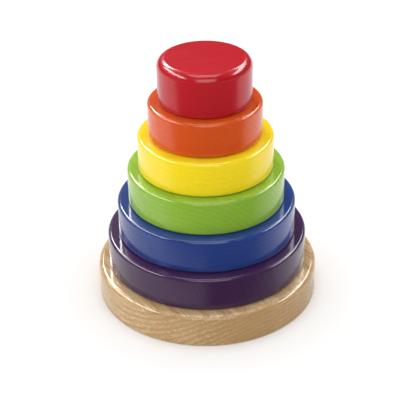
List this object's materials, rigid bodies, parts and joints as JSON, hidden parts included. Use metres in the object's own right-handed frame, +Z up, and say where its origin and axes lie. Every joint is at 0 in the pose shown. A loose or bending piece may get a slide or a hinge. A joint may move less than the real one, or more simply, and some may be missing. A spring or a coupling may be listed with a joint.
{
  "type": "stacking ring toy",
  "caption": "Wooden stacking toy: graduated coloured rings and a round cap lift off a central peg on a round base.",
  "frame": {"origin": "centre of the base's underside", "axes": "+Z up along the peg; the part is round, so +X and +Y are any two directions across the base"},
  "size_m": [0.132, 0.132, 0.151],
  "materials": {
    "natural_beech": "clear semi-gloss lacquer on natural beech",
    "purple_stain": "purple stain under clear semi-gloss lacquer",
    "blue_stain": "blue stain under clear semi-gloss lacquer",
    "green_stain": "light green stain under clear semi-gloss lacquer",
    "yellow_stain": "yellow stain under clear semi-gloss lacquer",
    "orange_stain": "orange stain under clear semi-gloss lacquer",
    "red_stain": "red stain under clear semi-gloss lacquer"
  },
  "bodies": {
    "stand": {"base": "natural_beech", "peg": "natural_beech"},
    "purple_ring": {"purple_ring": "purple_stain"},
    "blue_ring": {"blue_ring": "blue_stain"},
    "green_ring": {"green_ring": "green_stain"},
    "yellow_ring": {"yellow_ring": "yellow_stain"},
    "orange_ring": {"orange_ring": "orange_stain"},
    "red_cap": {"red_cap": "red_stain"}
  },
  "joints": [
    {"name": "purple_lift", "type": "slide", "parent": "stand", "child": "purple_ring", "axis": [0, 0, 1], "range_m": [0, 0.125]},
    {"name": "blue_lift", "type": "slide", "parent": "purple_ring", "child": "blue_ring", "axis": [0, 0, 1], "range_m": [0, 0.104]},
    {"name": "green_lift", "type": "slide", "parent": "blue_ring", "child": "green_ring", "axis": [0, 0, 1], "range_m": [0, 0.083]},
    {"name": "yellow_lift", "type": "slide", "parent": "green_ring", "child": "yellow_ring", "axis": [0, 0, 1], "range_m": [0, 0.062]},
    {"name": "orange_lift", "type": "slide", "parent": "yellow_ring", "child": "orange_ring", "axis": [0, 0, 1], "range_m": [0, 0.041]},
    {"name": "cap_lift", "type": "slide", "parent": "orange_ring", "child": "red_cap", "axis": [0, 0, 1], "range_m": [0, 0.02]}
  ]
}
